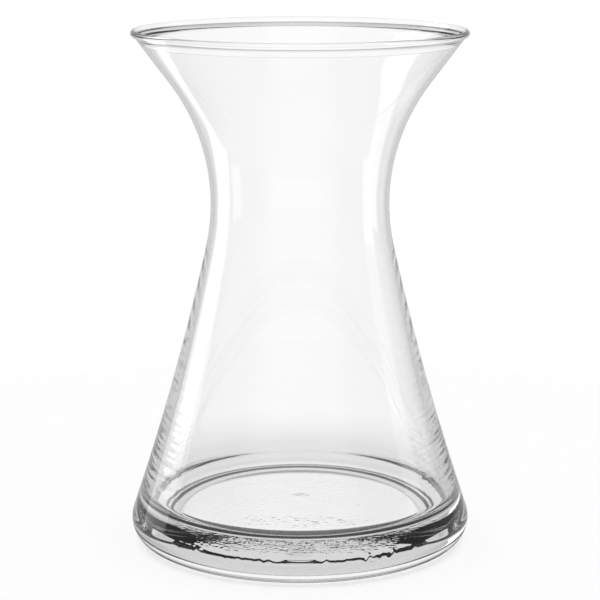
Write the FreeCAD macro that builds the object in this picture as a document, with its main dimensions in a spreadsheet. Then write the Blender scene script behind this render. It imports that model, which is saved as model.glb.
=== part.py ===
import FreeCAD, Part
import math
import os
import Sketcher

# Hourglass forcing vase blown in one piece of clear glass: millimetres, +Z up,
# the origin on the table under the centre of the foot.
# Every surface is a surface of revolution about Z, so each sketch lies in the XZ plane
# with the radius along X and the height along Z.

# Driving dimensions

SIZES = (
    ("overall_height", 200.0, "table to the top of the rim"),
    ("rim_diameter", 128.4, "widest diameter over the rounded rim"),
    ("rim_bead_diameter", 2.6, "thickness of the fire-polished bead round the rim"),
    ("flare_length", 23.0, "straight part of the flare, from the neck curve to the bead"),
    ("upper_wall", 1.4, "wall from the waist to the rim"),
    ("waist_diameter", 68.7, "narrowest outside diameter"),
    ("waist_height", 133.7, "table to the waist"),
    ("foot_diameter", 132.3, "widest diameter over the heel"),
    ("heel_radius", 9.5, "rounding of the outside bottom corner"),
    ("side_radius", 1020.0, "slight hollow of the outside below the waist"),
    ("cavity_side_radius", 1150.0, "slight hollow of the inside below the waist"),
    ("foot_wall", 7.3, "widest point of the heel to the inside wall at the floor"),
    ("floor_height", 14.5, "table to the inside floor"),
    ("floor_round_radius", 5.0, "rounding between the inside floor and the wall"),
    ("bearing_width", 2.4, "flat ring that the vase stands on"),
    ("punt_depth", 3.3, "height of the hollow under the foot"),
    ("punt_ring_curve", 5.0, "first curve from the bearing ring up into the hollow"),
    ("punt_roof_curve", 10.0, "second curve, which runs out into the level roof of the hollow"),
    ("dimple_diameter", 9.0, "plain round dimple at the centre of the inside floor"),
    ("dimple_depth", 0.2, "depth of that dimple below the floor"),
)

# Sketch numbering: the ends of an element, and the sketch's own origin and upright axis

START, END, CENTRE = range(1, 4)
ORIGIN, UPRIGHT_AXIS = range(-1, -3, -1)


def make_sheet(doc):
    """Write the driving dimensions into a spreadsheet, one row each."""
    sheet = doc.addObject("Spreadsheet::Sheet", "sizes")
    for row, (name, value, meaning) in enumerate(SIZES, start=1):
        sheet.set(f"A{row}", name)
        sheet.set(f"B{row}", str(value))
        sheet.setAlias(f"B{row}", name)
        sheet.set(f"C{row}", meaning)
    doc.recompute()
    return sheet


def at_place(radius, height):
    """A point of a section, by its radius from the axis and its height."""
    return FreeCAD.Vector(radius, height, 0)


def direction(angle):
    """The unit vector at an angle in radians."""
    return at_place(math.cos(angle), math.sin(angle))


def angle_of(v):
    """The angle of a vector in radians, from zero to a full turn."""
    return math.atan2(v.y, v.x) % (2 * math.pi)


def meet_of_circles(centre_a, radius_a, centre_b, radius_b):
    """The meeting point of two circles to the right of the way from the first centre to the second."""
    across = centre_b - centre_a
    gap = across.Length
    along = (gap ** 2 + radius_a ** 2 - radius_b ** 2) / (2 * gap)
    aside = math.sqrt(radius_a ** 2 - along ** 2)
    unit = across / gap
    return centre_a + unit * along + at_place(unit.y, -unit.x) * aside


def arc(centre, radius, start, end):
    """An arc that runs anticlockwise from one angle to the other."""
    circle = Part.Circle(centre, FreeCAD.Vector(0, 0, 1), radius)
    while end < start:
        end += 2 * math.pi
    return Part.ArcOfCircle(circle, start, end)


def new_sketch(body, name):
    """A sketch on the body's own XZ plane."""
    sketch = body.newObject("Sketcher::SketchObject", name)
    plane = next(f for f in body.Origin.OriginFeatures if f.Role == "XZ_Plane")
    sketch.AttachmentSupport = [(plane, "")]
    sketch.MapMode = "FlatFace"
    return sketch


def draw(sketch, elements, construction=False):
    """Add named elements to a sketch and give the number of each."""
    return {name: sketch.addGeometry(shape, construction) for name, shape in elements}


def relate(sketch, kind, *places):
    """A relation without a size, such as a tangent or a level line."""
    sketch.addConstraint(Sketcher.Constraint(kind, *places))


def dimension(sketch, kind, places, value, name, formula):
    """A size whose value follows the sheet."""
    index = sketch.addConstraint(Sketcher.Constraint(kind, *places, value))
    sketch.renameConstraint(index, name)
    sketch.setExpression("Constraints." + name, formula)


def outside_of_wall(sheet):
    """Centres, radii and directions of the outside, from the heel to the bead."""
    bead_radius = sheet.rim_bead_diameter / 2
    half_wall = sheet.upper_wall / 2
    waist = at_place(sheet.waist_diameter / 2, sheet.waist_height)
    heel = at_place(sheet.foot_diameter / 2 - sheet.heel_radius, sheet.heel_radius)
    bead = at_place(sheet.rim_diameter / 2 - bead_radius, sheet.overall_height - bead_radius)

    # The middle of the wall stands upright at the waist, turns on one curve and then runs
    # straight for the length of the flare to the centre of the bead.
    rise = bead - waist + at_place(half_wall, 0)
    middle_radius = (rise.x ** 2 + rise.y ** 2 - sheet.flare_length ** 2) / (2 * rise.x)
    neck_radius = middle_radius - half_wall
    neck = waist + at_place(neck_radius, 0)
    side = meet_of_circles(heel, sheet.side_radius + sheet.heel_radius,
                           neck, sheet.side_radius - neck_radius)
    flare_turn = angle_of(bead - neck) + math.atan2(sheet.flare_length, middle_radius)
    return dict(waist=waist, heel=heel, bead=bead, bead_radius=bead_radius, half_wall=half_wall,
                neck=neck, neck_radius=neck_radius, middle_radius=middle_radius, side=side,
                flare_turn=flare_turn)


def inside_of_wall(sheet, outside):
    """Centres, radii and the corner of the inside, from the neck to the floor."""
    neck = outside["neck"]
    neck_radius = outside["neck_radius"] + sheet.upper_wall
    corner = at_place(sheet.foot_diameter / 2 - sheet.foot_wall, sheet.floor_height)
    side = meet_of_circles(corner, sheet.cavity_side_radius,
                           neck, sheet.cavity_side_radius - neck_radius)

    # The rounding of the floor lies against the hollow side and on the level floor.
    round_height = sheet.floor_height + sheet.floor_round_radius
    reach = sheet.cavity_side_radius + sheet.floor_round_radius
    floor_round = at_place(side.x - math.sqrt(reach ** 2 - (side.y - round_height) ** 2), round_height)
    return dict(neck_radius=neck_radius, corner=corner, side=side, floor_round=floor_round)


def draw_wall_section(sketch, sheet):
    """The section of the whole wall, from the bearing plane over the rim to the inside floor."""
    outside = outside_of_wall(sheet)
    inside = inside_of_wall(sheet, outside)
    neck = outside["neck"]
    bead = outside["bead"]
    heel = outside["heel"]
    corner = inside["corner"]
    flare_turn = outside["flare_turn"]
    spoke = direction(flare_turn)
    uphill = at_place(spoke.y, -spoke.x)
    bead_radius = outside["bead_radius"]
    half_wall = outside["half_wall"]
    under_bead = bead - uphill * math.sqrt(bead_radius ** 2 - half_wall ** 2)
    outer_lip = under_bead - spoke * half_wall
    inner_lip = under_bead + spoke * half_wall
    side_up = angle_of(neck - outside["side"])
    cavity_side_up = angle_of(neck - inside["side"])
    round_side = angle_of(inside["floor_round"] - inside["side"])
    floor_edge = at_place(inside["floor_round"].x, corner.y)
    dimple_edge = at_place(sheet.dimple_diameter / 2, corner.y)
    dimple_bottom = at_place(0, corner.y - sheet.dimple_depth)
    dimple_ball = (dimple_edge.x ** 2 + sheet.dimple_depth ** 2) / (2 * sheet.dimple_depth)
    dimple_centre = dimple_bottom + at_place(0, dimple_ball)
    level_down = -math.pi / 2
    middle_foot = neck + spoke * outside["middle_radius"]

    at = draw(sketch, (
        ("underside", Part.LineSegment(at_place(0, 0), at_place(heel.x, 0))),
        ("heel", arc(heel, sheet.heel_radius, level_down, angle_of(outside["side"] - heel))),
        ("side", arc(outside["side"], sheet.side_radius, side_up, angle_of(heel - outside["side"]))),
        ("neck", arc(neck, outside["neck_radius"], flare_turn, side_up)),
        ("flare", Part.LineSegment(neck + spoke * outside["neck_radius"], outer_lip)),
        ("bead", arc(bead, bead_radius, angle_of(outer_lip - bead), angle_of(inner_lip - bead))),
        ("cavity_flare", Part.LineSegment(inner_lip, neck + spoke * inside["neck_radius"])),
        ("cavity_neck", arc(neck, inside["neck_radius"], flare_turn, cavity_side_up)),
        ("cavity_side", arc(inside["side"], sheet.cavity_side_radius, cavity_side_up, round_side)),
        ("floor_round", arc(inside["floor_round"], sheet.floor_round_radius, level_down,
                            angle_of(inside["side"] - inside["floor_round"]))),
        ("floor", Part.LineSegment(floor_edge, dimple_edge)),
        ("dimple", arc(dimple_centre, dimple_ball, level_down, angle_of(dimple_edge - dimple_centre))),
        ("axis", Part.LineSegment(dimple_bottom, at_place(0, 0))),
    ))
    guide = draw(sketch, (
        ("middle", Part.LineSegment(middle_foot, bead)),
        ("spoke", Part.LineSegment(neck, middle_foot)),
        ("waist", Part.Point(outside["waist"])),
        ("corner", Part.Point(corner)),
    ), construction=True)

    for first, first_end, second, second_end in (
            ("underside", END, "heel", START),
            ("heel", END, "side", END),
            ("side", START, "neck", END),
            ("neck", START, "flare", START),
            ("cavity_flare", END, "cavity_neck", START),
            ("cavity_neck", END, "cavity_side", START),
            ("cavity_side", END, "floor_round", END),
            ("floor_round", START, "floor", START)):
        relate(sketch, "Tangent", at[first], first_end, at[second], second_end)
    for first, first_end, second, second_end in (
            ("flare", END, "bead", START),
            ("bead", END, "cavity_flare", START),
            ("floor", END, "dimple", END),
            ("dimple", START, "axis", START),
            ("axis", END, "underside", START),
            ("neck", CENTRE, "cavity_neck", CENTRE)):
        relate(sketch, "Coincident", at[first], first_end, at[second], second_end)
    relate(sketch, "Coincident", at["underside"], START, ORIGIN, START)
    relate(sketch, "Horizontal", at["underside"])
    relate(sketch, "Horizontal", at["floor"])
    relate(sketch, "Vertical", at["axis"])

    # A guide along the middle of the flare stands square on a spoke of the neck curve, and
    # the waist is the point of that curve level with its centre.
    relate(sketch, "Coincident", guide["middle"], END, at["bead"], CENTRE)
    relate(sketch, "Coincident", guide["middle"], START, guide["spoke"], END)
    relate(sketch, "Coincident", guide["spoke"], START, at["neck"], CENTRE)
    relate(sketch, "Perpendicular", guide["middle"], guide["spoke"])
    relate(sketch, "Parallel", guide["middle"], at["flare"])
    relate(sketch, "Parallel", guide["middle"], at["cavity_flare"])
    relate(sketch, "Horizontal", guide["waist"], START, at["neck"], CENTRE)
    relate(sketch, "PointOnObject", guide["waist"], START, at["neck"])
    relate(sketch, "PointOnObject", guide["corner"], START, at["cavity_side"])
    relate(sketch, "PointOnObject", at["dimple"], CENTRE, UPRIGHT_AXIS)

    for name, value, formula in (
            ("heel", sheet.heel_radius, "sizes.heel_radius"),
            ("side", sheet.side_radius, "sizes.side_radius"),
            ("bead", bead_radius, "sizes.rim_bead_diameter / 2"),
            ("cavity_side", sheet.cavity_side_radius, "sizes.cavity_side_radius"),
            ("floor_round", sheet.floor_round_radius, "sizes.floor_round_radius")):
        dimension(sketch, "Radius", (at[name],), value, name + "_radius", formula)
    dimension(sketch, "Distance", (guide["middle"],), sheet.flare_length, "flare_length",
              "sizes.flare_length")
    for name in ("flare", "cavity_flare"):
        dimension(sketch, "Distance", (at["bead"], CENTRE, at[name]), half_wall,
                  name + "_beside_bead", "sizes.upper_wall / 2")

    for name, place, value, formula in (
            ("waist", (guide["waist"], START), outside["waist"].x, "sizes.waist_diameter / 2"),
            ("heel", (at["heel"], CENTRE), heel.x, "sizes.foot_diameter / 2 - sizes.heel_radius"),
            ("bead", (at["bead"], CENTRE), bead.x,
             "sizes.rim_diameter / 2 - sizes.rim_bead_diameter / 2"),
            ("corner", (guide["corner"], START), corner.x,
             "sizes.foot_diameter / 2 - sizes.foot_wall"),
            ("dimple", (at["floor"], END), dimple_edge.x, "sizes.dimple_diameter / 2")):
        dimension(sketch, "DistanceX", (ORIGIN, START, *place), value, name + "_across", formula)
    for name, place, value, formula in (
            ("waist", (guide["waist"], START), outside["waist"].y, "sizes.waist_height"),
            ("bead", (at["bead"], CENTRE), bead.y,
             "sizes.overall_height - sizes.rim_bead_diameter / 2"),
            ("corner", (guide["corner"], START), corner.y, "sizes.floor_height"),
            ("floor", (at["floor"], START), corner.y, "sizes.floor_height"),
            ("dimple", (at["dimple"], START), dimple_bottom.y,
             "sizes.floor_height - sizes.dimple_depth")):
        dimension(sketch, "DistanceY", (ORIGIN, START, *place), value, name + "_up", formula)


def draw_punt_section(sketch, sheet):
    """The section of the shallow hollow under the foot, with its two curves and level roof."""
    ring_inside = sheet.foot_diameter / 2 - sheet.heel_radius - sheet.bearing_width
    depth = sheet.punt_depth
    curves = sheet.punt_ring_curve + sheet.punt_roof_curve
    turn = math.acos(1 - depth / curves)
    lower = at_place(ring_inside, sheet.punt_ring_curve)
    upper = at_place(ring_inside - curves * math.sin(turn), depth - sheet.punt_roof_curve)
    level_up = math.pi / 2
    level_down = 3 * math.pi / 2

    at = draw(sketch, (
        ("opening", Part.LineSegment(at_place(0, 0), at_place(ring_inside, 0))),
        ("ring_curve", arc(lower, sheet.punt_ring_curve, level_down - turn, level_down)),
        ("roof_curve", arc(upper, sheet.punt_roof_curve, level_up - turn, level_up)),
        ("roof", Part.LineSegment(at_place(upper.x, depth), at_place(0, depth))),
        ("axis", Part.LineSegment(at_place(0, depth), at_place(0, 0))),
    ))
    for first, first_end, second, second_end in (
            ("opening", END, "ring_curve", END),
            ("ring_curve", START, "roof_curve", START),
            ("roof_curve", END, "roof", START)):
        relate(sketch, "Tangent", at[first], first_end, at[second], second_end)
    relate(sketch, "Coincident", at["roof"], END, at["axis"], START)
    relate(sketch, "Coincident", at["axis"], END, at["opening"], START)
    relate(sketch, "Coincident", at["opening"], START, ORIGIN, START)
    relate(sketch, "Horizontal", at["opening"])
    relate(sketch, "Horizontal", at["roof"])
    relate(sketch, "Vertical", at["axis"])

    for name, value in (("ring_curve", sheet.punt_ring_curve), ("roof_curve", sheet.punt_roof_curve)):
        dimension(sketch, "Radius", (at[name],), value, name + "_radius", "sizes.punt_" + name)
    dimension(sketch, "DistanceX", (ORIGIN, START, at["opening"], END), ring_inside, "ring_inside",
              "sizes.foot_diameter / 2 - sizes.heel_radius - sizes.bearing_width")
    dimension(sketch, "DistanceY", (ORIGIN, START, at["roof"], START), depth, "roof_up",
              "sizes.punt_depth")


def turn_section(body, kind, name, sketch):
    """A full turn of a section about the vase's axis, added or cut."""
    feature = body.newObject(kind, name)
    feature.Profile = sketch
    feature.ReferenceAxis = (sketch, ["V_Axis"])
    feature.Angle = 360
    body.Document.recompute()
    return feature


def make_vase_body(doc, sheet):
    """The vase: the turned wall with its foot and rim, then the hollow cut under the foot."""
    body = doc.addObject("PartDesign::Body", "vase_body")
    body.Label = "vase_body"

    wall_section = new_sketch(body, "wall_section")
    draw_wall_section(wall_section, sheet)
    turn_section(body, "PartDesign::Revolution", "blown_wall", wall_section)
    blown_volume = body.Shape.Volume

    punt_section = new_sketch(body, "punt_section")
    draw_punt_section(punt_section, sheet)
    turn_section(body, "PartDesign::Groove", "punt", punt_section)
    if body.Shape.Volume >= blown_volume:
        raise RuntimeError("the hollow under the foot cut nothing")
    return body


def check(doc, bodies):
    """Stop if a feature failed, a sketch is loose or a body is empty or broken."""
    for item in doc.Objects:
        if "Invalid" in item.State or "Error" in item.State:
            raise RuntimeError(f"{item.Label} failed: {item.State}")
        if item.isDerivedFrom("Sketcher::SketchObject") and not item.FullyConstrained:
            raise RuntimeError(f"{item.Label} has free places")
    for body in bodies:
        if body.Shape.isNull() or not body.Shape.isValid() or len(body.Shape.Solids) != 1:
            raise RuntimeError(f"{body.Label} has no valid solid")


def main():
    doc = FreeCAD.newDocument("forcing_vase")
    sheet = make_sheet(doc)
    bodies = [make_vase_body(doc, sheet)]
    doc.recompute()
    check(doc, bodies)
    os.makedirs("parts", exist_ok=True)
    for body in bodies:
        body.Shape.exportStep(f"parts/{body.Label}.step")
        print(f"{body.Label}: {body.Shape.Volume:.1f} mm3, {len(body.Shape.Faces)} faces")


main()
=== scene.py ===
import math

import bmesh
import bpy
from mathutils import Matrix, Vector, noise


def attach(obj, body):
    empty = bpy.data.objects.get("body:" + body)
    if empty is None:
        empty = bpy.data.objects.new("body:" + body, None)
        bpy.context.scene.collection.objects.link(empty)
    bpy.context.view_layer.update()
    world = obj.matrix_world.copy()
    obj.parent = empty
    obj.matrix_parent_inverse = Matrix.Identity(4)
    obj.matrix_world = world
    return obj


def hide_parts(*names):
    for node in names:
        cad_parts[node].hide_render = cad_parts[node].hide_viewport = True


# Hourglass forcing vase of clear glass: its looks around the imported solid.
# Sizes are millimetres until they reach a mesh, +Z up, origin under the centre of the foot.

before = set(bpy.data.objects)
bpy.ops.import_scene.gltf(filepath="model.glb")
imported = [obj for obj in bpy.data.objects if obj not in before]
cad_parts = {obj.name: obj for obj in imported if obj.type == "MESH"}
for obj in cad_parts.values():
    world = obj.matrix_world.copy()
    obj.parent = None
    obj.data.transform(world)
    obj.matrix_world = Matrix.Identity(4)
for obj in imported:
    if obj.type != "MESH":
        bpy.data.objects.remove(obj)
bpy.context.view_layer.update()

MM = 0.001

# Outline of the vase, the same driving dimensions as the solid

OVERALL_HEIGHT = 200.0
RIM_DIAMETER = 128.4
RIM_BEAD_DIAMETER = 2.6
FLARE_LENGTH = 23.0
UPPER_WALL = 1.4
WAIST_DIAMETER = 68.7
WAIST_HEIGHT = 133.7
FOOT_DIAMETER = 132.3
HEEL_RADIUS = 9.5
SIDE_RADIUS = 1020.0
CAVITY_SIDE_RADIUS = 1150.0
FOOT_WALL = 7.3
FLOOR_HEIGHT = 14.5
FLOOR_ROUND_RADIUS = 5.0
BEARING_WIDTH = 2.4
PUNT_DEPTH = 3.3
PUNT_RING_CURVE = 5.0
PUNT_ROOF_CURVE = 10.0
DIMPLE_DIAMETER = 9.0
DIMPLE_DEPTH = 0.2

# Relief of a blown piece. A pair is where a step starts and how long it is, and a wave is
# how strong it is and over what size. A layer is the height at which the noise is cut, so
# that no two patterns repeat each other.

# Chill skin: crackle all over the roof of the hollow, up to an uneven edge
CHILL_SKIN_RADIUS = 38.0
CHILL_SKIN_FADE = -4.0
CHILL_SKIN_EDGE_WAVE = (6.0, 7.0)
CHILL_SKIN_EDGE_LAYER = 9.0
CHILL_SKIN_RELIEF = 0.025
FOLD_WAVE = (1.0, 2.4)
FOLD_LAYER = 0.0
FINE_FOLD_WAVE = (0.6, 1.2)
FINE_FOLD_LAYER = 7.0

# Chill mark: a stronger patch of the same crackle towards the viewer, as an ellipse
CHILL_MARK_RELIEF = 0.06
CHILL_MARK_HALF_WIDTH = 38.0
CHILL_MARK_HALF_LENGTH = 11.0
CHILL_MARK_PLACE = 25.0
CHILL_MARK_FADE = -0.4
CHILL_MARK_EDGE_WAVE = (0.5, 5.0)
CHILL_MARK_EDGE_LAYER = 5.0

# Draw marks and cords: low inside, on the left and right, clear of the floor round
DRAW_MARK_RELIEF = 0.09
DRAW_MARK_SPACING = 1.5
DRAW_MARK_TURN = 1.4
CORD_RELIEF = 0.02
CORD_WIDTH = 16
CORD_LENGTH = 30
MARKS_BELOW = (90.0, -50.0)
MARKS_ABOVE = (19.0, 6.0)
MARKS_ASIDE = (0.75, 0.2)

# Rings that die away from the centre of the floor, with a slow wave between them
FLOOR_RING_RELIEF = 0.02
FLOOR_RING_SPACING = 3.2
FLOOR_RING_REACH = 7.0
FLOOR_RING_START = (3.5, 2.0)
FLOOR_WAVE_SHARE = 0.4
FLOOR_WAVE_SIZE = 9
FLOOR_WAVE_LAYER = 3.0

# Mesh fineness: round the axis, and along each part of the outline

SEGMENTS = 480
ROOF_STEPS = 110
PUNT_CURVE_STEPS = 7
RING_STEPS = 3
HEEL_STEPS = 18
SIDE_STEPS = 30
NECK_STEPS = 30
FLARE_STEPS = 5
BEAD_STEPS = 18
CAVITY_SIDE_STEPS = 240
FLOOR_ROUND_STEPS = 16
FLOOR_STEPS = 60
DIMPLE_STEPS = 6

# Glass: scales of the noise textures, and sizes in metres

GLASS_IOR = 1.5
GLASS_TINT = (0.990, 0.993, 0.992, 1.0)
STRIAE_SCALE = 45.0
STRIAE_STRETCH = 0.15
STRIAE_RANGE = (0.35, 0.75)
SKIN_GRAIN_SCALE = 900.0
SKIN_GRAIN_DEPTH = 0.00002
SKIN_GRAIN_FADE = (0.034, 0.038)
SKIN_GRAIN_HEADROOM = 1

# Brightness of the studio as the glass mirrors it, with white seen straight or through the
# glass at 1. BACK and FRONT are added to STUDIO towards the back and the viewer. CEILING
# takes the place of the white that is seen through the glass far up, and SHADE is what a
# scattered ray finds.

STUDIO_LEVEL = 0.5
BACK_LEVEL = 0.2
FRONT_LEVEL = 0.4
CEILING_LEVEL = 0.2
SHADE_LEVEL = 0.95
KEPT_MIRRORINGS = 3

# Azimuths in degrees from +X anticlockwise, and inner and outer angles of soft edges
BACK_AZIMUTH = 90
BACK_ANGLES = (15, 50)
FRONT_AZIMUTH = -90
FRONT_ANGLES = (20, 60)
CEILING_ANGLES = (20, 40)

# Softboxes as reflections see them: azimuth, half width and edge in degrees, lowest and
# highest sine of elevation, and brightness
SOFTBOXES = (
    (152, 13, 2, -0.50, 0.85, 1.2),
    (130, 18, 3, -0.95, -0.45, 1.2),
    (7.5, 7.5, 2, -0.95, 0.06, 0.9),
)
SOFTBOX_END = 0.05

# White table top

TABLE_RADIUS = 300.0
TABLE_GAP = 0.05
TABLE_CORNERS = 128

# Shade painted on the table round the foot, as the glass shows it: radii in metres where
# each shade starts, is full, ends being full and is gone. It was fitted for the
# photograph's side.

# Painted grey: how bright the table glows where the glass mirrors it, in place of its lit look
TABLE_MIRRORED_PAINTED_GREY = 0.65
SHADE_DEPTH = 0.97
FRONT_SHADE = (0.052, 0.056, 0.062, 0.080)
RING_SHADE = (0.050, 0.054, 0.055, 0.057)
BACK_SHADE = (0.058, 0.066, 0.105, 0.175)
BACK_SHADE_DEPTH = 0.2
BACK_SHADE_START = (0.0, 0.04)
HOLLOW_SHADE = (0.0585, 0.0615)
HOLLOW_SHADE_PLACE = (0, -0.030, 0)
HOLLOW_SHADE_END = (0.048, 0.052)

# Camera, fitted to the photograph's outline of the vase

CAMERA_DISTANCE = 841.3
CAMERA_HEIGHT = 267.5
CAMERA_PITCH = 11.574
CAMERA_LENS = 132.76
SENSOR_WIDTH = 36.0

# Light paths: enough to follow a ray round the thick foot

GLASS_BOUNCES = 32
DIFFUSE_BOUNCES = 12


# The half section

def direction(angle):
    """The unit vector at an angle in radians, radius first and height second."""
    return Vector((math.cos(angle), math.sin(angle)))


def angle_of(v):
    """The angle of a vector in radians, from zero to a full turn."""
    return math.atan2(v.y, v.x) % (2 * math.pi)


def meet_of_circles(centre_a, radius_a, centre_b, radius_b):
    """Where two circles meet, to the right of the way from the first centre to the second."""
    across = centre_b - centre_a
    gap = across.length
    along = (gap ** 2 + radius_a ** 2 - radius_b ** 2) / (2 * gap)
    aside = math.sqrt(radius_a ** 2 - along ** 2)
    unit = across / gap
    return centre_a + unit * along + Vector((unit.y, -unit.x)) * aside


def arc(centre, radius, start, end, steps):
    """Points of an arc from one angle to the other, the first one left out."""
    return [centre + direction(start + (end - start) * k / steps) * radius
            for k in range(1, steps + 1)]


def line(start, end, steps):
    """Points of a straight line, the first one left out."""
    return [start + (end - start) * (k / steps) for k in range(1, steps + 1)]


def wall_outline():
    """The half section from the hollow's roof over the outside to the dimple, with zones."""
    full = 2 * math.pi
    down = -math.pi / 2
    up = math.pi / 2
    bead_radius = RIM_BEAD_DIAMETER / 2
    half_wall = UPPER_WALL / 2
    waist = Vector((WAIST_DIAMETER / 2, WAIST_HEIGHT))
    heel = Vector((FOOT_DIAMETER / 2 - HEEL_RADIUS, HEEL_RADIUS))
    bead = Vector((RIM_DIAMETER / 2 - bead_radius, OVERALL_HEIGHT - bead_radius))

    # Neck and flare
    rise = bead - waist + Vector((half_wall, 0))
    middle_radius = (rise.length_squared - FLARE_LENGTH ** 2) / (2 * rise.x)
    neck_radius = middle_radius - half_wall
    neck = waist + Vector((neck_radius, 0))
    cavity_neck_radius = neck_radius + UPPER_WALL
    flare_turn = angle_of(bead - neck) + math.atan2(FLARE_LENGTH, middle_radius)
    spoke = direction(flare_turn)
    uphill = Vector((spoke.y, -spoke.x))
    under_bead = bead - uphill * math.sqrt(bead_radius ** 2 - half_wall ** 2)
    outer_lip = under_bead - spoke * half_wall
    inner_lip = under_bead + spoke * half_wall

    # Sides below the waist
    side = meet_of_circles(heel, SIDE_RADIUS + HEEL_RADIUS, neck, SIDE_RADIUS - neck_radius)
    corner = Vector((FOOT_DIAMETER / 2 - FOOT_WALL, FLOOR_HEIGHT))
    cavity_side = meet_of_circles(corner, CAVITY_SIDE_RADIUS,
                                  neck, CAVITY_SIDE_RADIUS - cavity_neck_radius)
    round_height = FLOOR_HEIGHT + FLOOR_ROUND_RADIUS
    reach = CAVITY_SIDE_RADIUS + FLOOR_ROUND_RADIUS
    aside = math.sqrt(reach ** 2 - (cavity_side.y - round_height) ** 2)
    round_centre = Vector((cavity_side.x - aside, round_height))

    # Hollow under the foot
    ring_inside = heel.x - BEARING_WIDTH
    curves = PUNT_RING_CURVE + PUNT_ROOF_CURVE
    turn = math.acos(1 - PUNT_DEPTH / curves)
    lower = Vector((ring_inside, PUNT_RING_CURVE))
    upper = Vector((ring_inside - curves * math.sin(turn), PUNT_DEPTH - PUNT_ROOF_CURVE))

    # Floor, with the dimple at its centre
    floor_edge = Vector((round_centre.x, FLOOR_HEIGHT))
    dimple = Vector((DIMPLE_DIAMETER / 2, FLOOR_HEIGHT))
    dimple_ball = (dimple.x ** 2 + DIMPLE_DEPTH ** 2) / (2 * DIMPLE_DEPTH)
    dimple_centre = Vector((0, FLOOR_HEIGHT - DIMPLE_DEPTH + dimple_ball))

    points = [Vector((0, PUNT_DEPTH))]
    zones = ["chill_skin"]
    for zone, more in (
            ("chill_skin", line(points[0], Vector((upper.x, PUNT_DEPTH)), ROOF_STEPS)),
            ("punt_curve", arc(upper, PUNT_ROOF_CURVE, up, up - turn, PUNT_CURVE_STEPS)),
            ("punt_curve", arc(lower, PUNT_RING_CURVE, full + down - turn, full + down,
                               PUNT_CURVE_STEPS)),
            ("bearing_ring", line(Vector((ring_inside, 0)), Vector((heel.x, 0)), RING_STEPS)),
            ("outside", arc(heel, HEEL_RADIUS, down, angle_of(side - heel), HEEL_STEPS)),
            ("outside", arc(side, SIDE_RADIUS, angle_of(heel - side), angle_of(neck - side),
                            SIDE_STEPS)),
            ("outside", arc(neck, neck_radius, angle_of(neck - side), flare_turn, NECK_STEPS)),
            ("outside", line(neck + spoke * neck_radius, outer_lip, FLARE_STEPS)),
            ("outside", arc(bead, bead_radius, angle_of(outer_lip - bead) - full,
                            angle_of(inner_lip - bead), BEAD_STEPS)),
            ("inside", line(inner_lip, neck + spoke * cavity_neck_radius, FLARE_STEPS)),
            ("inside", arc(neck, cavity_neck_radius, flare_turn,
                           angle_of(neck - cavity_side), NECK_STEPS)),
            ("inside", arc(cavity_side, CAVITY_SIDE_RADIUS, angle_of(neck - cavity_side),
                           angle_of(round_centre - cavity_side), CAVITY_SIDE_STEPS)),
            ("inside", arc(round_centre, FLOOR_ROUND_RADIUS,
                           angle_of(cavity_side - round_centre), down, FLOOR_ROUND_STEPS)),
            ("floor", line(floor_edge, dimple, FLOOR_STEPS)),
            ("floor", arc(dimple_centre, dimple_ball, angle_of(dimple - dimple_centre) - full,
                          down, DIMPLE_STEPS))):
        points.extend(more)
        zones.extend([zone] * len(more))
    return points, zones


# The relief

def smooth_step(start, length, value):
    """A smooth step from zero at the start to one a length later."""
    t = min(max((value - start) / length, 0.0), 1.0)
    return t * t * (3 - 2 * t)


def wave(strength, size, *place):
    """A smooth random wave of a strength over features of a size in millimetres."""
    return strength * noise.noise(Vector(place) / size)


def chill_relief(x, y, radius):
    """The crackle under the foot."""
    edge = CHILL_SKIN_RADIUS + wave(*CHILL_SKIN_EDGE_WAVE, x, y, CHILL_SKIN_EDGE_LAYER)
    skin = smooth_step(edge, CHILL_SKIN_FADE, radius)
    off_mark = math.hypot(x / CHILL_MARK_HALF_WIDTH,
                          (y + CHILL_MARK_PLACE) / CHILL_MARK_HALF_LENGTH)
    edge = 1.0 + wave(*CHILL_MARK_EDGE_WAVE, x, y, CHILL_MARK_EDGE_LAYER)
    mark = smooth_step(edge, CHILL_MARK_FADE, off_mark)
    folds = abs(wave(*FOLD_WAVE, x, y, FOLD_LAYER)) + wave(*FINE_FOLD_WAVE, x, y, FINE_FOLD_LAYER)
    return -folds * (CHILL_SKIN_RELIEF * skin + CHILL_MARK_RELIEF * mark)


def inside_relief(x, y, height, angle):
    """The draw marks and cords of the inside wall."""
    low = smooth_step(*MARKS_BELOW, height) * smooth_step(*MARKS_ABOVE, height)
    aside = smooth_step(*MARKS_ASIDE, abs(math.cos(angle)))
    turning = noise.noise(Vector((height / DRAW_MARK_SPACING, DRAW_MARK_TURN * math.cos(angle),
                                  DRAW_MARK_TURN * math.sin(angle))))
    cords = noise.noise(Vector((x / CORD_WIDTH, y / CORD_WIDTH, height / CORD_LENGTH)))
    return low * aside * (DRAW_MARK_RELIEF * turning + CORD_RELIEF * cords)


def floor_relief(x, y, radius):
    """The rings and the slow wave of the floor."""
    rings = (math.cos(2 * math.pi * radius / FLOOR_RING_SPACING)
             * math.exp(-radius / FLOOR_RING_REACH) * smooth_step(*FLOOR_RING_START, radius))
    slow = noise.noise(Vector((x / FLOOR_WAVE_SIZE, y / FLOOR_WAVE_SIZE, FLOOR_WAVE_LAYER)))
    return FLOOR_RING_RELIEF * (rings + FLOOR_WAVE_SHARE * slow)


def relief(zone, radius, height, angle):
    """How far the real surface stands out from the drawn one, in millimetres."""
    x = radius * math.cos(angle)
    y = radius * math.sin(angle)
    if zone == "chill_skin":
        return chill_relief(x, y, radius)
    if zone == "inside":
        return inside_relief(x, y, height, angle)
    if zone == "floor":
        return floor_relief(x, y, radius)
    return 0.0


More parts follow.
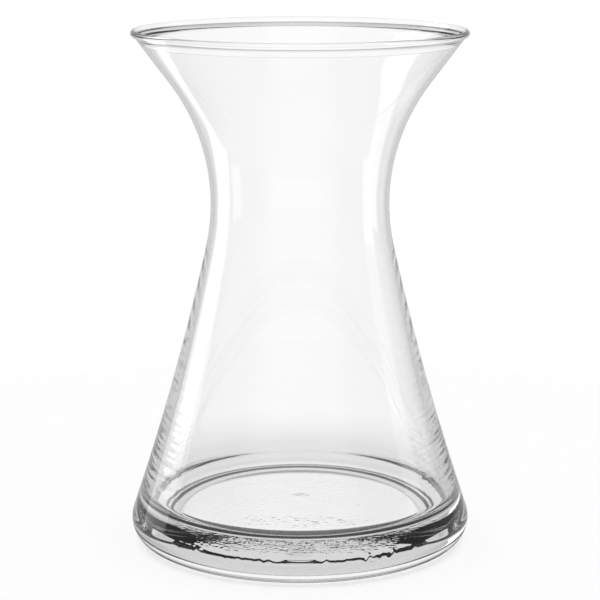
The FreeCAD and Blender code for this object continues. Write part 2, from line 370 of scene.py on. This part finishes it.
def make_vase():
    """The vase as one closed mesh, its half section turned with the relief of a blown piece."""
    outline, zones = wall_outline()
    mesh = bmesh.new()
    rings = []
    for k, (point, zone) in enumerate(zip(outline[1:-1], zones[1:-1]), start=1):
        along = (outline[k + 1] - outline[k - 1]).normalized()
        out = Vector((along.y, -along.x))
        ring = []
        for n in range(SEGMENTS):
            angle = 2 * math.pi * n / SEGMENTS
            place = point + out * relief(zone, point.x, point.y, angle)
            ring.append(mesh.verts.new((place.x * math.cos(angle) * MM,
                                        place.x * math.sin(angle) * MM, place.y * MM)))
        rings.append(ring)
    bottom = mesh.verts.new((0, 0, outline[0].y * MM))
    top = mesh.verts.new((0, 0, outline[-1].y * MM))
    for k in range(SEGMENTS):
        after = (k + 1) % SEGMENTS
        mesh.faces.new((bottom, rings[0][after], rings[0][k]))
        mesh.faces.new((top, rings[-1][k], rings[-1][after]))
        for low, high in zip(rings, rings[1:]):
            mesh.faces.new((low[k], low[after], high[after], high[k]))
    for face in mesh.faces:
        face.smooth = True
    data = bpy.data.meshes.new("vase")
    mesh.to_mesh(data)
    mesh.free()
    vase = bpy.data.objects.new("vase", data)
    bpy.context.scene.collection.objects.link(vase)
    return vase


# Nodes

def math_node(tree, operation, *inputs):
    """A math node whose inputs are sockets or plain numbers."""
    node = tree.nodes.new("ShaderNodeMath")
    node.operation = operation
    for socket, value in zip(node.inputs, inputs):
        if isinstance(value, (int, float)):
            socket.default_value = value
        else:
            tree.links.new(value, socket)
    return node.outputs[0]


def smooth_between(tree, value, low, high):
    """A smooth step from zero at the low value to one at the high value."""
    node = tree.nodes.new("ShaderNodeMapRange")
    node.interpolation_type = "SMOOTHSTEP"
    tree.links.new(value, node.inputs["Value"])
    node.inputs["From Min"].default_value = low
    node.inputs["From Max"].default_value = high
    return node.outputs["Result"]


def distance(tree, place):
    """How far a place is from the origin."""
    node = tree.nodes.new("ShaderNodeVectorMath")
    node.operation = "LENGTH"
    tree.links.new(place, node.inputs[0])
    return node.outputs["Value"]


def parts_of(tree, vector):
    """The three parts of a vector."""
    node = tree.nodes.new("ShaderNodeSeparateXYZ")
    tree.links.new(vector, node.inputs[0])
    return node.outputs


def inverse(tree, share):
    """One less the share."""
    return math_node(tree, "SUBTRACT", 1.0, share)


def mixed(tree, share, off, on):
    """One value where the share is zero and the other where it is one."""
    return math_node(tree, "ADD", math_node(tree, "MULTIPLY", share, on),
                     math_node(tree, "MULTIPLY", inverse(tree, share), off))


def product(tree, first, *others):
    """All shares multiplied together."""
    for other in others:
        first = math_node(tree, "MULTIPLY", first, other)
    return first


def window(tree, value, rise_from, rise_to, fall_from, fall_to):
    """A share that rises smoothly from zero to one and falls back to zero."""
    return math_node(tree, "SUBTRACT", smooth_between(tree, value, rise_from, rise_to),
                     smooth_between(tree, value, fall_from, fall_to))


def path_share(tree, kind):
    """One where the ray was mirrored, went through glass or was scattered on its way."""
    light_path = tree.nodes.new("ShaderNodeLightPath")
    return math_node(tree, "GREATER_THAN", light_path.outputs[kind], 0.5)


def shader_mix(tree, share, off, on):
    """One shader where the share is zero and the other where it is one."""
    node = tree.nodes.new("ShaderNodeMixShader")
    tree.links.new(share, node.inputs[0])
    tree.links.new(off, node.inputs[1])
    tree.links.new(on, node.inputs[2])
    return node.outputs[0]


def toward(tree, x, y, level, azimuth):
    """The cosine of the angle on plan between a direction and an azimuth in degrees."""
    angle = math.radians(azimuth)
    along = math_node(tree, "ADD", math_node(tree, "MULTIPLY", x, math.cos(angle)),
                      math_node(tree, "MULTIPLY", y, math.sin(angle)))
    return math_node(tree, "DIVIDE", along, level)


def within(tree, cosine, inner, outer):
    """One up to the inner angle in degrees, and zero from the outer one on."""
    return smooth_between(tree, cosine, math.cos(math.radians(outer)),
                          math.cos(math.radians(inner)))


# Materials, studio, table and camera

def glass_material():
    """Clear glass with faint upright striae and a fine grain on the chill skin."""
    material = bpy.data.materials.new("clear_glass")
    material.use_nodes = True
    tree = material.node_tree
    shader = tree.nodes["Principled BSDF"]
    shader.inputs["Transmission Weight"].default_value = 1.0
    shader.inputs["Roughness"].default_value = 0.0
    shader.inputs["IOR"].default_value = GLASS_IOR

    # Striae: a trace of colour that runs up the wall
    place = tree.nodes.new("ShaderNodeTexCoord").outputs["Object"]
    stretched = tree.nodes.new("ShaderNodeMapping")
    stretched.inputs["Scale"].default_value = (1, 1, STRIAE_STRETCH)
    tree.links.new(place, stretched.inputs["Vector"])
    striae = tree.nodes.new("ShaderNodeTexNoise")
    striae.inputs["Scale"].default_value = STRIAE_SCALE
    tree.links.new(stretched.outputs["Vector"], striae.inputs["Vector"])
    tint = tree.nodes.new("ShaderNodeMixRGB")
    tint.inputs["Color1"].default_value = (1, 1, 1, 1)
    tint.inputs["Color2"].default_value = GLASS_TINT
    tree.links.new(smooth_between(tree, striae.outputs["Fac"], *STRIAE_RANGE),
                   tint.inputs["Fac"])
    tree.links.new(tint.outputs["Color"], shader.inputs["Base Color"])

    # Chill skin: a fine grain on the roof of the hollow only
    under = math_node(tree, "LESS_THAN", parts_of(tree, place)["Z"],
                      (PUNT_DEPTH + SKIN_GRAIN_HEADROOM) * MM)
    skin = inverse(tree, smooth_between(tree, distance(tree, place), *SKIN_GRAIN_FADE))
    grain = tree.nodes.new("ShaderNodeTexNoise")
    grain.inputs["Scale"].default_value = SKIN_GRAIN_SCALE
    tree.links.new(place, grain.inputs["Vector"])
    bump = tree.nodes.new("ShaderNodeBump")
    bump.inputs["Distance"].default_value = SKIN_GRAIN_DEPTH
    tree.links.new(product(tree, skin, under), bump.inputs["Strength"])
    tree.links.new(grain.outputs["Fac"], bump.inputs["Height"])
    tree.links.new(bump.outputs["Normal"], shader.inputs["Normal"])
    return material


def make_world():
    """White for what is seen straight or through glass, a grey studio for what mirrors in it."""
    world = bpy.data.worlds.new("studio")
    bpy.context.scene.world = world
    world.use_nodes = True
    tree = world.node_tree
    x, y, z = parts_of(tree, tree.nodes.new("ShaderNodeTexCoord").outputs["Generated"])
    level = math_node(tree, "SQRT", math_node(tree, "ADD", math_node(tree, "MULTIPLY", x, x),
                                              math_node(tree, "MULTIPLY", y, y)))
    back = within(tree, toward(tree, x, y, level, BACK_AZIMUTH), *BACK_ANGLES)
    front = within(tree, toward(tree, x, y, level, FRONT_AZIMUTH), *FRONT_ANGLES)
    studio = math_node(tree, "ADD", product(tree, back, BACK_LEVEL), STUDIO_LEVEL)
    studio = math_node(tree, "ADD", studio, product(tree, front, FRONT_LEVEL))
    for azimuth, half, edge, low, high, strength in SOFTBOXES:
        inside = within(tree, toward(tree, x, y, level, azimuth), half, half + edge)
        upright = window(tree, z, low - SOFTBOX_END, low + SOFTBOX_END,
                         high - SOFTBOX_END, high + SOFTBOX_END)
        studio = math_node(tree, "ADD", studio, product(tree, inside, upright, strength))

    # Rays mirrored again and again inside the thick foot find no light
    light_path = tree.nodes.new("ShaderNodeLightPath")
    kept = math_node(tree, "LESS_THAN", light_path.outputs["Glossy Depth"],
                     KEPT_MIRRORINGS + 0.5)
    scattered = path_share(tree, "Diffuse Depth")
    studio = mixed(tree, scattered, product(tree, studio, kept), SHADE_LEVEL)

    # Sight lines bent far upwards by the glass meet a dim ceiling
    low, high = (math.sin(math.radians(angle)) for angle in CEILING_ANGLES)
    ceiling = product(tree, smooth_between(tree, z, low, high),
                      inverse(tree, light_path.outputs["Is Camera Ray"]),
                      inverse(tree, scattered))
    straight = mixed(tree, ceiling, 1.0, CEILING_LEVEL)
    background = tree.nodes["Background"]
    background.inputs["Color"].default_value = (1, 1, 1, 1)
    tree.links.new(mixed(tree, path_share(tree, "Glossy Depth"), straight, studio),
                   background.inputs["Strength"])


def table_material():
    """A white table the glass shows with painted shade round the foot, and mirrors painted grey.
    """
    material = bpy.data.materials.new("white_table")
    material.use_nodes = True
    tree = material.node_tree
    shader = tree.nodes["Principled BSDF"]
    shader.inputs["Base Color"].default_value = (1.0, 1.0, 1.0, 1.0)
    shader.inputs["Roughness"].default_value = 1.0
    shader.inputs["Specular IOR Level"].default_value = 0.0
    place = tree.nodes.new("ShaderNodeTexCoord").outputs["Object"]
    radius = distance(tree, place)
    behind = smooth_between(tree, parts_of(tree, place)["Y"], *BACK_SHADE_START)
    direct = inverse(tree, path_share(tree, "Diffuse Depth"))

    # Seen through the foot: painted shade, dark under the ring that it stands on and in the front
    # of the hollow, and a soft painted shade behind the foot
    # A black emission that stands in for the painted shade
    dark = tree.nodes.new("ShaderNodeEmission")
    dark.inputs["Strength"].default_value = 0.0
    moved = tree.nodes.new("ShaderNodeVectorMath")
    moved.operation = "ADD"
    tree.links.new(place, moved.inputs[0])
    moved.inputs[1].default_value = HOLLOW_SHADE_PLACE
    far_off = smooth_between(tree, distance(tree, moved.outputs["Vector"]), *HOLLOW_SHADE)
    hollow = product(tree, far_off,
                     inverse(tree, smooth_between(tree, radius, *HOLLOW_SHADE_END)))
    close = math_node(tree, "MAXIMUM", window(tree, radius, *RING_SHADE), hollow)
    wide = product(tree, window(tree, radius, *BACK_SHADE), behind, BACK_SHADE_DEPTH)
    shade = math_node(tree, "MAXIMUM", product(tree, close, SHADE_DEPTH), wide)
    share = product(tree, shade, path_share(tree, "Transmission Depth"), direct)
    shaded = shader_mix(tree, share, shader.outputs[0], dark.outputs[0])

    # Mirrored in the glass: a painted grey glow, with a painted shade in front of the foot
    shade = product(tree, window(tree, radius, *FRONT_SHADE), inverse(tree, behind),
                    SHADE_DEPTH)
    grey = tree.nodes.new("ShaderNodeEmission")
    tree.links.new(product(tree, inverse(tree, shade), TABLE_MIRRORED_PAINTED_GREY),
                   grey.inputs["Strength"])
    share = product(tree, path_share(tree, "Glossy Depth"), direct)
    tree.links.new(shader_mix(tree, share, shaded, grey.outputs[0]),
                   tree.nodes["Material Output"].inputs["Surface"])
    return material


def make_floor():
    """The table top, a hair below the foot."""
    bpy.ops.mesh.primitive_circle_add(vertices=TABLE_CORNERS, radius=TABLE_RADIUS * MM,
                                      fill_type="NGON", location=(0, 0, -TABLE_GAP * MM))
    floor = bpy.context.object
    floor.name = "table_top"
    floor.data.materials.append(table_material())


def make_camera():
    """The photograph's viewpoint."""
    data = bpy.data.cameras.new("camera")
    data.sensor_width = SENSOR_WIDTH
    data.lens = CAMERA_LENS
    camera = bpy.data.objects.new("camera", data)
    camera.location = (0, -CAMERA_DISTANCE * MM, CAMERA_HEIGHT * MM)
    camera.rotation_euler = (math.radians(90 - CAMERA_PITCH), 0, 0)
    bpy.context.scene.collection.objects.link(camera)
    bpy.context.scene.camera = camera


def main():
    """The vase on its table, lit and seen as in the photograph."""
    scene = bpy.context.scene
    scene.view_settings.view_transform = "Standard"
    scene.cycles.max_bounces = GLASS_BOUNCES
    scene.cycles.transmission_bounces = GLASS_BOUNCES
    scene.cycles.glossy_bounces = GLASS_BOUNCES
    scene.cycles.diffuse_bounces = DIFFUSE_BOUNCES
    scene.cycles.blur_glossy = 0.0
    vase = make_vase()
    vase.data.materials.append(glass_material())
    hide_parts("vase_body")
    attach(vase, "root")
    make_floor()
    make_world()
    make_camera()


main()
